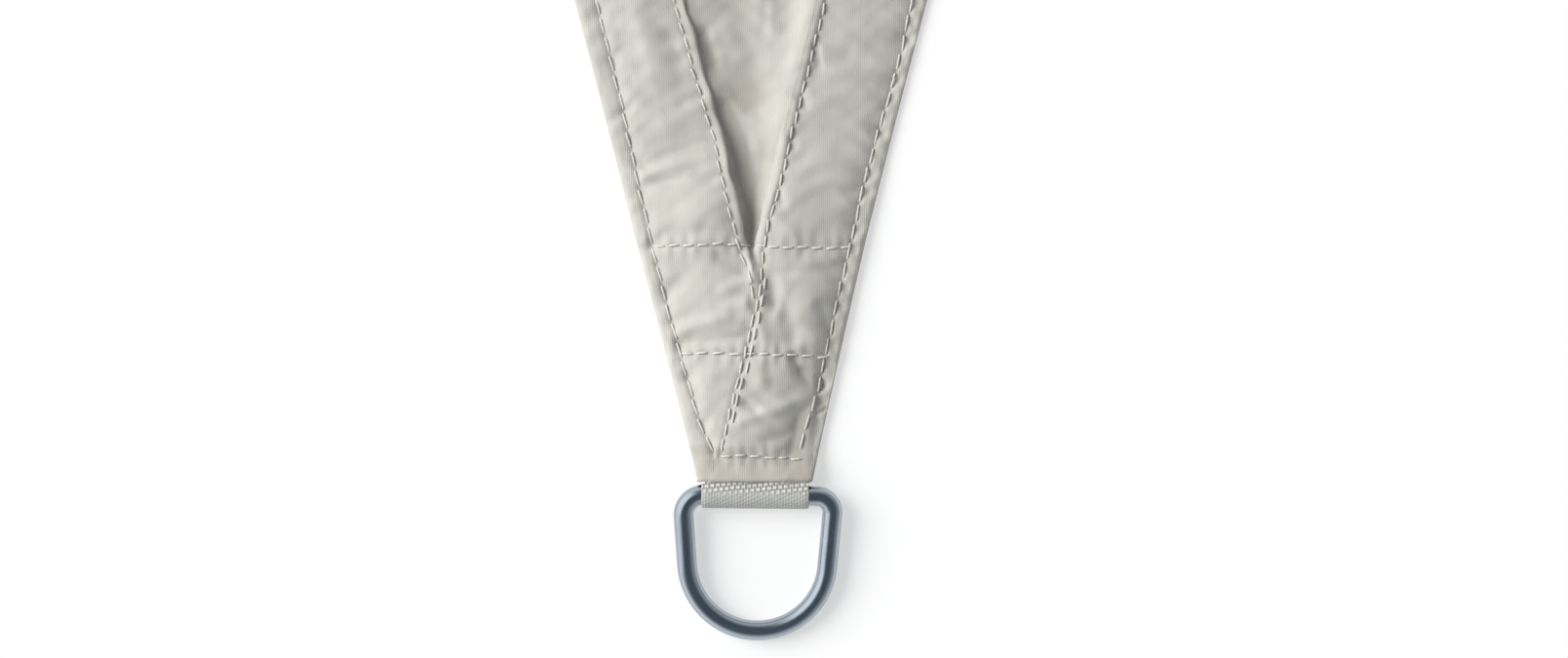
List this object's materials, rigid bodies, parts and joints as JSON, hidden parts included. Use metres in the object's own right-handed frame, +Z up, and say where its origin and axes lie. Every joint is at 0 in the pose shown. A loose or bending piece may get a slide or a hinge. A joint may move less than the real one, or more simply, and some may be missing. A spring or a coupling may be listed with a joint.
{
  "type": "triangular shade sail",
  "caption": "Triangular cream shade sail with curved hemmed edges, lying open, a steel D-ring in a sewn webbing loop at each corner for shackles or cord.",
  "frame": {"origin": "on the ground under the middle of the sail's bounding box", "axes": "+Z up from the ground; -Y towards the front corner, the one in the picture; +X to its right as seen from above"},
  "size_m": [3.082, 2.6772, 0.0091],
  "materials": {
    "cloth": "plain-woven cream polyester with a faint sheen",
    "webbing": "ribbed cream polyester webbing",
    "ring": "smooth bright steel wire"
  },
  "bodies": {
    "root": {"sail": "cloth", "webbing_loop_front": "webbing", "webbing_loop_right": "webbing", "webbing_loop_left": "webbing", "d_ring_front": "ring", "d_ring_right": "ring", "d_ring_left": "ring"}
  },
  "joints": []
}
